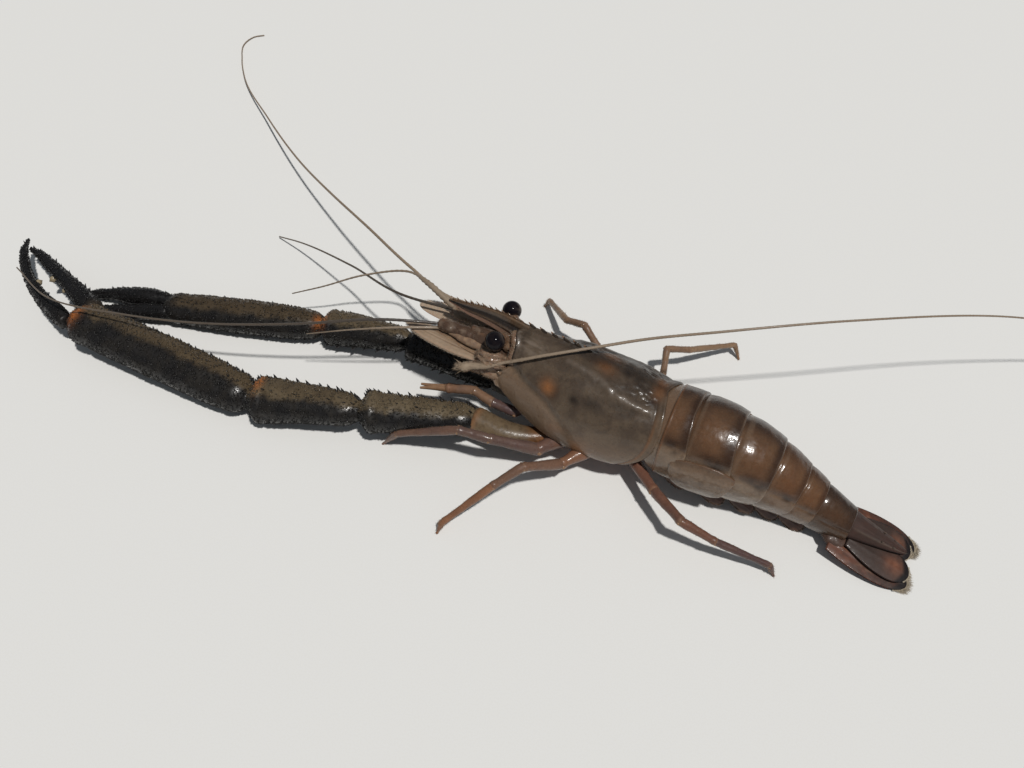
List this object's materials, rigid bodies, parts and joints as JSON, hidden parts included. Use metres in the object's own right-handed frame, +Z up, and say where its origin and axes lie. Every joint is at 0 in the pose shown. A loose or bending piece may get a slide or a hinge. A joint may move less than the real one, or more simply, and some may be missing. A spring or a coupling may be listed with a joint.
{
  "type": "river prawn model",
  "caption": "African river prawn, a large male as a still life-size model: long toothed rostrum, two long spiny claws, thin feelers, jointed tail with tail fan",
  "frame": {"origin": "centre of the whole prawn's box, on the floor that it lies on", "axes": "+X runs from the head to the tail, +Y towards the prawn's own right side, +Z up"},
  "size_m": [0.3862, 0.1836, 0.0461],
  "materials": {
    "body_shell": "glossy grey-brown shell, faintly clear",
    "tail_shell": "glossy orange-brown shell with dark bands",
    "fan": "glossy dark red-brown shell",
    "belly": "damp pale skin",
    "swimmeret": "dark thin blades",
    "eye": "wet gloss",
    "pale_flesh": "pale tan, faintly clear",
    "feeler": "brown, satin",
    "claw": "dark olive brown, granular, satin",
    "leg": "orange brown, satin"
  },
  "bodies": {
    "root": {"carapace": "body_shell", "rostrum": "body_shell", "abdomen_1": "tail_shell", "abdomen_2": "tail_shell", "abdomen_3": "tail_shell", "abdomen_4": "tail_shell", "abdomen_5": "tail_shell", "abdomen_6": "tail_shell", "telson": "fan", "uropod_left_inner": "fan", "uropod_left_outer": "fan", "uropod_right_inner": "fan", "uropod_right_outer": "fan", "thorax": "belly", "pleopod_1_left": "swimmeret", "pleopod_1_right": "swimmeret", "pleopod_2_left": "swimmeret", "pleopod_2_right": "swimmeret", "pleopod_3_left": "swimmeret", "pleopod_3_right": "swimmeret", "pleopod_4_left": "swimmeret", "pleopod_4_right": "swimmeret", "pleopod_5_left": "swimmeret", "pleopod_5_right": "swimmeret", "eye_left": "eye", "eye_right": "eye", "eyestalk_left": "pale_flesh", "eyestalk_right": "pale_flesh", "antenna_scale_left": "pale_flesh", "antenna_scale_right": "pale_flesh", "antenna_base_left": "feeler", "antenna_base_right": "feeler", "antenna_whip_left_base": "feeler", "antenna_whip_left_tip": "feeler", "antenna_whip_right_base": "feeler", "antenna_whip_right_tip": "feeler", "antennule_left": "feeler", "antennule_right": "feeler", "antennule_branch_left": "feeler", "antennule_branch_right": "feeler", "antennule_whip_left": "feeler", "antennule_whip_right": "feeler", "claw_left_merus": "claw", "claw_left_carpus": "claw", "claw_left_palm": "claw", "claw_left_dactyl": "claw", "claw_right_merus": "claw", "claw_right_carpus": "claw", "claw_right_palm": "claw", "claw_right_dactyl": "claw", "leg_1_left": "leg", "leg_1_right": "leg", "leg_3_left": "leg", "leg_3_right": "leg", "leg_4_left": "leg", "leg_4_right": "leg", "leg_5_left": "leg", "leg_5_right": "leg", "jaw_leg_left": "leg", "jaw_leg_right": "leg"}
  },
  "joints": []
}
